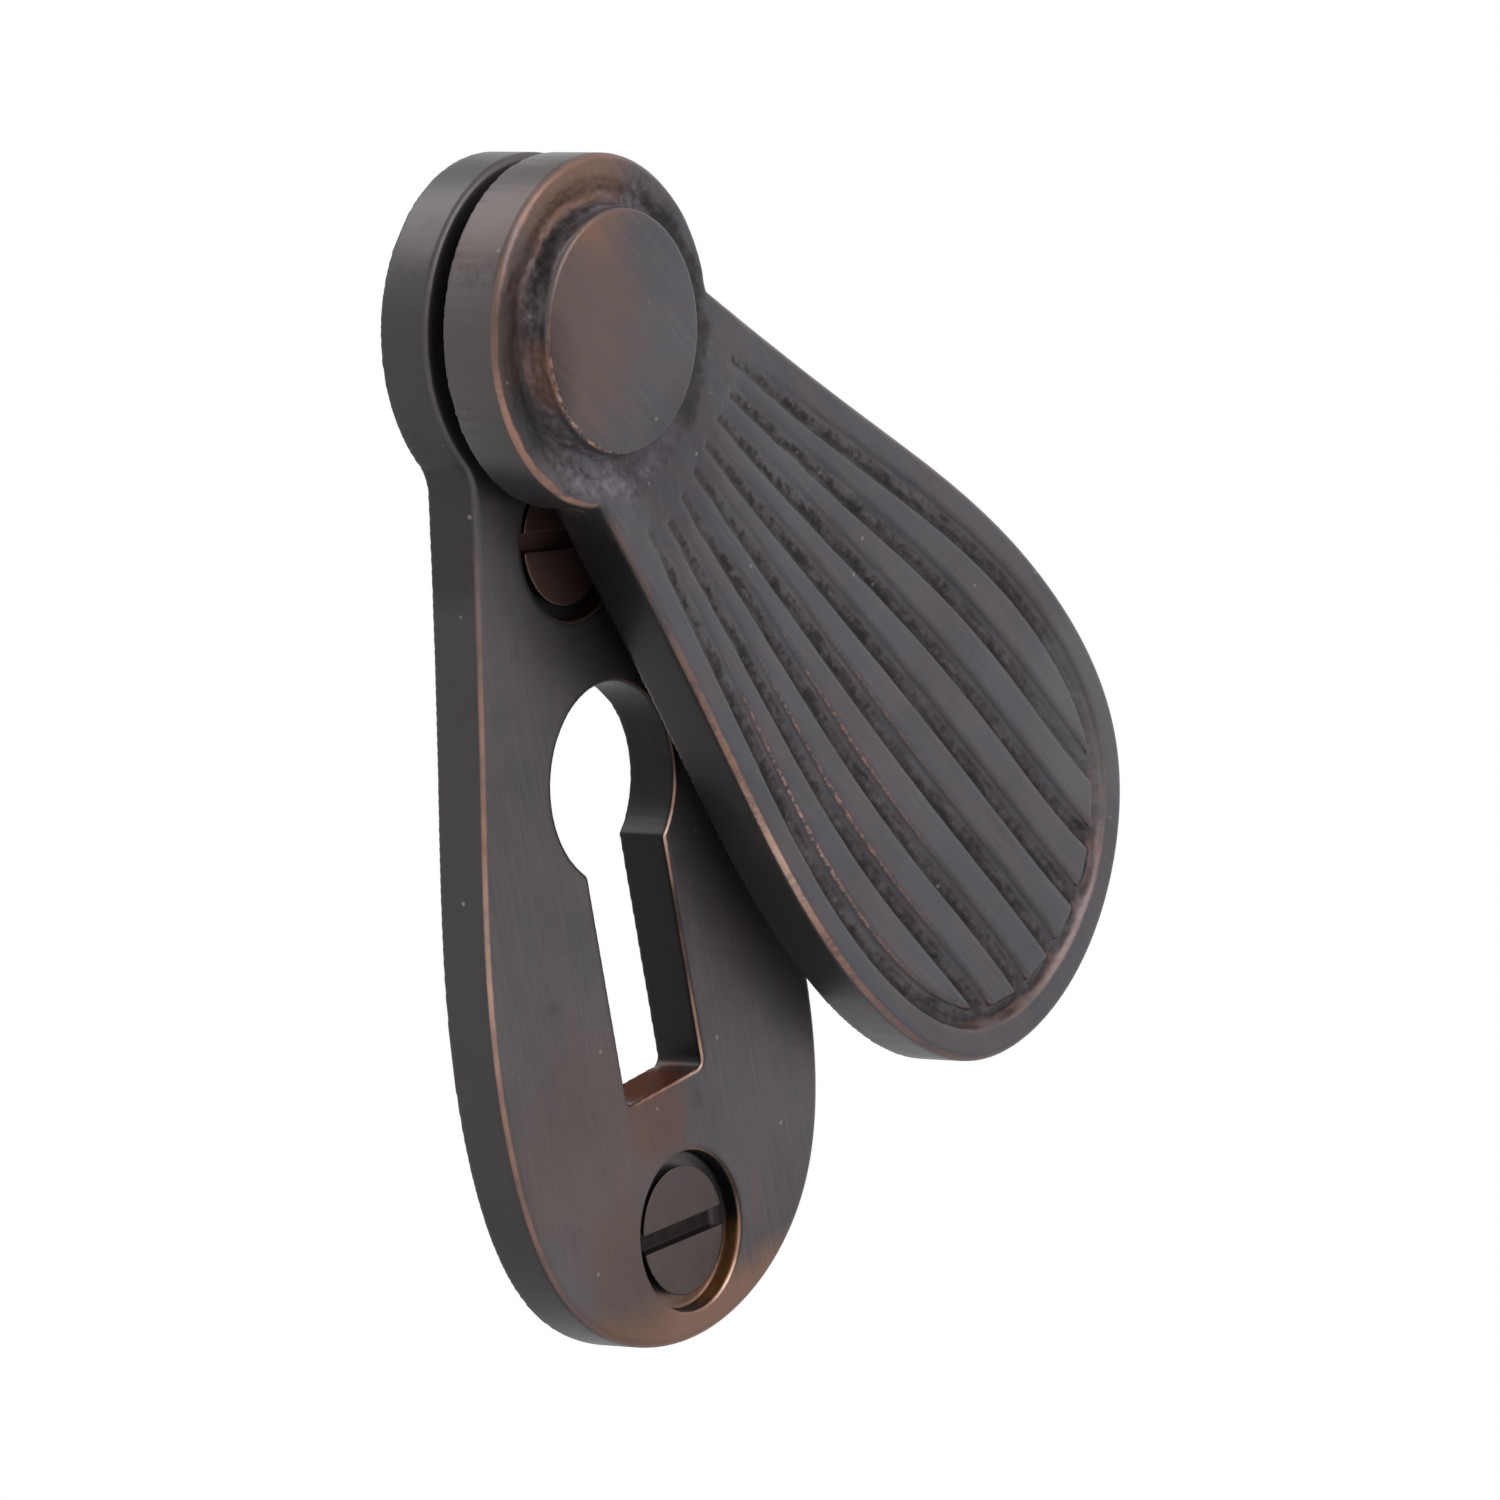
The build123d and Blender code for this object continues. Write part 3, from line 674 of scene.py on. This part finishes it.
def slotted(tree, given, blank):
    """Cuts the slot across a screw's head, with a block longer and taller than the slot."""
    across = add(tree, MATH, {0: given["Head Radius"], 1: 3.0}, operation="MULTIPLY")["Value"]
    deep = add(tree, MATH, {0: given["Slot Depth"], 1: 2.0}, operation="MULTIPLY")["Value"]
    size = add(tree, "ShaderNodeCombineXYZ", {"X": across, "Y": given["Slot Width"], "Z": deep})["Vector"]
    cutter = add(tree, "GeometryNodeMeshCube", {"Size": size})["Mesh"]
    return add(tree, "GeometryNodeMeshBoolean", {"Mesh 1": blank, "Mesh 2": cutter})["Mesh"]


def wound_thread(tree, given, core_start):
    """Thread of a screw: a ridge that winds round the core and runs out along the point, in two lengths."""
    ridge = add(tree, "GeometryNodeCurvePrimitiveCircle", {"Resolution": 4,
                                                           "Radius": given["Thread Height"]})["Curve"]
    pitch = add(tree, MATH, {0: given["Core Depth"], 1: given["Thread Turns"]}, operation="DIVIDE")["Value"]
    last_depth = add(tree, MATH, {0: given["Point Depth"], 1: given["Thread Run Out"]},
                     operation="MULTIPLY")["Value"]
    last_turns = add(tree, MATH, {0: last_depth, 1: pitch}, operation="DIVIDE")["Value"]
    last_radius = add(tree, MIX, {"Factor": given["Thread Run Out"], "A": given["Core Radius"],
                                  "B": given["Point Radius"]})["Result"]
    last_start = add(tree, MATH, {0: core_start, 1: given["Core Depth"]}, operation="ADD")["Value"]
    lengths = []
    for turns, radius, height, start in (
            (given["Thread Turns"], given["Core Radius"], given["Core Depth"], core_start),
            (last_turns, last_radius, last_depth, last_start)):
        path = add(tree, "GeometryNodeCurveSpiral", {
            "Resolution": THREAD_STEPS, "Rotations": turns, "Height": height,
            "Start Radius": given["Core Radius"], "End Radius": radius})["Curve"]
        wound = add(tree, "GeometryNodeCurveToMesh", {"Curve": path, "Profile Curve": ridge,
                                                      "Fill Caps": True})["Mesh"]
        lift = add(tree, "ShaderNodeCombineXYZ", {"Z": start})["Vector"]
        wound = add(tree, "GeometryNodeTransform", {"Geometry": wound, "Translation": lift})["Geometry"]
        lengths.append(wound)
    return lengths


def slotted_screws_tree():
    """The two slotted wood screws, driven into the plate from the front, each stopped at its own angle."""
    tree, given = new_tree("slotted_screws", (
        "Head Radius", "Head Land", "Cone Depth", "Shank Radius", "Shank Depth", "Core Radius", "Core Depth",
        "Point Radius", "Point Depth", "Thread Turns", "Thread Height", "Thread Run Out", "Slot Width",
        "Slot Depth", "Face", "Upper Height", "Lower Height", "Upper Angle", "Lower Angle"))
    blank, core_start = turned_blank(tree, given)
    blank = slotted(tree, given, blank)
    thread = wound_thread(tree, given, core_start)
    screw = add(tree, "GeometryNodeJoinGeometry", {"Geometry": [blank] + thread})["Geometry"]
    level = add(tree, MATH, {0: given["Face"], 1: -1.0}, operation="MULTIPLY")["Value"]
    driven = add(tree, "ShaderNodeCombineXYZ", {"Y": level})["Vector"]
    screw = add(tree, "GeometryNodeTransform", {"Geometry": screw, "Translation": driven,
                                                "Rotation": (-math.pi / 2, 0, 0)})["Geometry"]
    upper = add(tree, "ShaderNodeCombineXYZ", {"Z": given["Upper Height"]})["Vector"]
    lower = add(tree, "ShaderNodeCombineXYZ", {"Z": given["Lower Height"]})["Vector"]
    places = add(tree, "GeometryNodeMeshLine", {"Count": 2, "Start Location": upper, "Offset": lower},
                 mode="END_POINTS")["Mesh"]
    which = add(tree, "GeometryNodeInputIndex")["Index"]
    angle = add(tree, MIX, {"Factor": which, "A": given["Upper Angle"], "B": given["Lower Angle"]})["Result"]
    angle = add(tree, MATH, {0: angle}, operation="RADIANS")["Value"]
    angle = add(tree, "ShaderNodeCombineXYZ", {"Y": angle})["Vector"]
    screws = add(tree, "GeometryNodeInstanceOnPoints", {"Points": places, "Instance": screw,
                                                        "Rotation": angle})["Instances"]
    end_tree(tree, given, screws)
    return tree


# Pieces

def new_piece(name, mesh):
    """A new object in the scene, in millimetres."""
    piece = bpy.data.objects.new(name, mesh)
    bpy.context.scene.collection.objects.link(piece)
    return piece


def node_copy(name, node):
    """A merged copy of one of the part's nodes, in millimetres."""
    copy = bmesh.new()
    copy.from_mesh(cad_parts[node].data)
    bmesh.ops.remove_doubles(copy, verts=copy.verts, dist=0.001 * MM)
    mesh = bpy.data.meshes.new(name)
    copy.to_mesh(mesh)
    copy.free()
    mesh.transform(Matrix.Scale(1 / MM, 4))
    return new_piece(name, mesh)


def add_nodes(piece, tree, values):
    """Adds a geometry nodes modifier and sets its inputs, by the identifiers of their sockets."""
    modifier = piece.modifiers.new(tree.name, "NODES")
    modifier.node_group = tree
    for socket in tree.interface.items_tree:
        if socket.in_out == "INPUT" and socket.name in values:
            modifier[socket.identifier] = values[socket.name]


def made_real(piece):
    """Turns what the modifiers make into the piece's own mesh."""
    shape = piece.evaluated_get(bpy.context.evaluated_depsgraph_get())
    mesh = bpy.data.meshes.new_from_object(shape)
    piece.modifiers.clear()
    piece.data = mesh


def finish_casting(piece, node, body, turn, cell, rounding, kept, skin):
    """Meshes a piece evenly, rounds its edges, gives it the cast skin and puts it in the node's place.

    The even mesh has cells of one size, turned off the piece's own lines so that no edge runs along them.
    """
    made_real(piece)
    aside = Matrix.Rotation(math.radians(turn), 4, "Y")
    piece.data.transform(aside)
    even = piece.modifiers.new("even", "REMESH")
    even.mode = "VOXEL"
    even.voxel_size = cell
    made_real(piece)
    piece.data.transform(aside.inverted())
    soften = piece.modifiers.new("soften", "SMOOTH")
    soften.factor = 0.5
    soften.iterations = rounding
    add_nodes(piece, cast_skin, skin)
    lighten = piece.modifiers.new("lighten", "DECIMATE")
    lighten.ratio = kept
    made_real(piece)
    piece.data.transform(Matrix.Scale(MM, 4))
    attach(piece, body)
    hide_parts(node)


cast_skin = cast_skin_tree()

plate = node_copy("pear_plate", "back_plate")
plate_skin = {
    "Round Head": PIVOT_HEAD_RADIUS, "Sheltered": SHELTERED_RADIUS,
    "Edge Rise": 0.052, "Rim Rise": 0.125, "Far Edges": 1.0,
    "Outline Level": -NOWHERE, "Hollow Depth": 2.0, "Dim Level": NOWHERE,
    "Hole Shade": 1.0, "Finish": plate_bronze}
finish_casting(plate, "back_plate", "plate", turn=40, cell=0.09, rounding=12, kept=0.33,
               skin=plate_skin)

cover = node_copy("reeded_cover", "swing_cover")
cover_skin = {
    "Round Head": PIVOT_HEAD_RADIUS, "Ring Inner": RING_INNER, "Ring Outer": RING_OUTER,
    "Grooves Faint": GROOVES_FAINT, "Grooves Full": GROOVES_FULL, "Pitted": 0.3,
    "Edge Rise": 0.025, "Rim Rise": 0.138, "Far Edges": 0.1, "Lip": 0.9,
    "Outline Level": BOSS_FOOT, "Hollow Depth": 0.12, "Dim Level": NOWHERE,
    "Steep Fill": 0.25, "Gentle Fill": 1.0,
    "Grain Size": 0.4, "Grain Height": 0.16, "Fray Size": 2.0, "Fray Height": 0.6, "Finish": cover_bronze}
finish_casting(cover, "swing_cover", "cover", turn=10, cell=0.1, rounding=8, kept=0.33,
               skin=cover_skin)

screws = new_piece("slotted_screws", bpy.data.meshes.new("slotted_screws"))
add_nodes(screws, slotted_screws_tree(), {
    "Head Radius": SCREW_HEAD_RADIUS, "Head Land": HEAD_LAND, "Cone Depth": CONE_DEPTH,
    "Shank Radius": SHANK_RADIUS, "Shank Depth": SHANK_DEPTH, "Core Radius": CORE_RADIUS,
    "Core Depth": CORE_DEPTH, "Point Radius": POINT_RADIUS, "Point Depth": POINT_DEPTH,
    "Thread Turns": THREAD_TURNS, "Thread Height": THREAD_HEIGHT, "Thread Run Out": THREAD_RUN_OUT,
    "Slot Width": SLOT_WIDTH, "Slot Depth": SLOT_DEPTH, "Face": SCREW_FACE,
    "Upper Height": UPPER_SCREW_HEIGHT, "Lower Height": LOWER_SCREW_HEIGHT,
    "Upper Angle": UPPER_SLOT_ANGLE, "Lower Angle": LOWER_SLOT_ANGLE, "Finish": screw_bronze})
screw_skin = {
    "Edge Rise": 0.08, "Rim Rise": 0.3, "Far Edges": 1.0,
    "Outline Level": -NOWHERE, "Hollow Depth": 2.0, "Dim Level": SLOT_DIM_FROM - SCREW_FACE,
    "Finish": screw_bronze}
finish_casting(screws, "fixing_screws", "plate", turn=30, cell=0.06, rounding=3, kept=0.6,
               skin=screw_skin)

for name, finish in (("pivot_pin", screw_bronze), ("bearing_washer", black_bronze)):
    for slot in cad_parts[name].material_slots:
        slot.material = finish


# Floor, light and camera

def ground():
    """A pale matt floor below the part, out of the photograph's frame."""
    material, tree = new_material("pale_floor")
    paint = add(tree, "ShaderNodeBsdfDiffuse", {"Color": linear(FLOOR_GREY)})["BSDF"]
    add(tree, "ShaderNodeOutputMaterial", {"Surface": paint})
    mesh = bpy.data.meshes.new("floor")
    disc = bmesh.new()
    bmesh.ops.create_circle(disc, cap_ends=True, radius=FLOOR_RADIUS * MM, segments=96)
    bmesh.ops.translate(disc, vec=(0, 0, FLOOR_HEIGHT * MM), verts=disc.verts)
    disc.to_mesh(mesh)
    disc.free()
    mesh.materials.append(material)
    floor = bpy.data.objects.new("floor", mesh)
    bpy.context.scene.collection.objects.link(floor)


def softbox(name, place, size, power):
    """A square area lamp at a place, turned to the part."""
    lamp = bpy.data.lights.new(name, "AREA")
    lamp.size = size * MM
    lamp.energy = power
    box = bpy.data.objects.new(name, lamp)
    box.location = Vector(place) * MM
    box.rotation_euler = (Vector(CAMERA_AIM) - Vector(place)).to_track_quat("-Z", "Y").to_euler()
    bpy.context.scene.collection.objects.link(box)


def studio():
    """White surroundings, dimmer as light than as a background, and two softboxes."""
    world = bpy.data.worlds.new("studio")
    world.use_nodes = True
    tree = world.node_tree
    tree.nodes.clear()
    ray = add(tree, "ShaderNodeLightPath")
    seen = add(tree, MATH, {0: ray["Is Camera Ray"], 1: ray["Is Glossy Ray"]}, operation="MAXIMUM")["Value"]
    seen = add(tree, MATH, {0: seen, 1: ray["Is Transmission Ray"]}, operation="MAXIMUM")["Value"]
    level = add(tree, RANGE, {"Value": seen, "To Min": SURROUND_LIGHT, "To Max": 1.0})["Result"]
    sky = add(tree, "ShaderNodeBackground", {"Color": (1, 1, 1, 1), "Strength": level})["Background"]
    add(tree, "ShaderNodeOutputWorld", {"Surface": sky})
    bpy.context.scene.world = world
    softbox("front_softbox", place=(100, -550, 400), size=500, power=2)
    softbox("top_softbox", place=(0, 250, 500), size=500, power=3.5)


def camera():
    """The camera of the photograph."""
    azimuth = math.radians(CAMERA_AZIMUTH)
    elevation = math.radians(CAMERA_ELEVATION)
    roll = math.radians(CAMERA_ROLL)
    back = Vector((math.sin(azimuth) * math.cos(elevation), -math.cos(azimuth) * math.cos(elevation),
                   math.sin(elevation)))
    right = Vector((0, 0, 1)).cross(back).normalized()
    up = back.cross(right)
    side = math.cos(roll) * right + math.sin(roll) * up
    top = math.cos(roll) * up - math.sin(roll) * right
    lens = bpy.data.cameras.new("camera")
    lens.lens = CAMERA_LENS
    lens.sensor_width = SENSOR_WIDTH
    view = bpy.data.objects.new("camera", lens)
    turn = Matrix((side, top, back)).transposed().to_4x4()
    view.matrix_world = Matrix.Translation((Vector(CAMERA_AIM) + back * CAMERA_DISTANCE) * MM) @ turn
    bpy.context.scene.collection.objects.link(view)
    bpy.context.scene.camera = view


ground()
studio()
camera()
bpy.context.scene.view_settings.view_transform = "Standard"
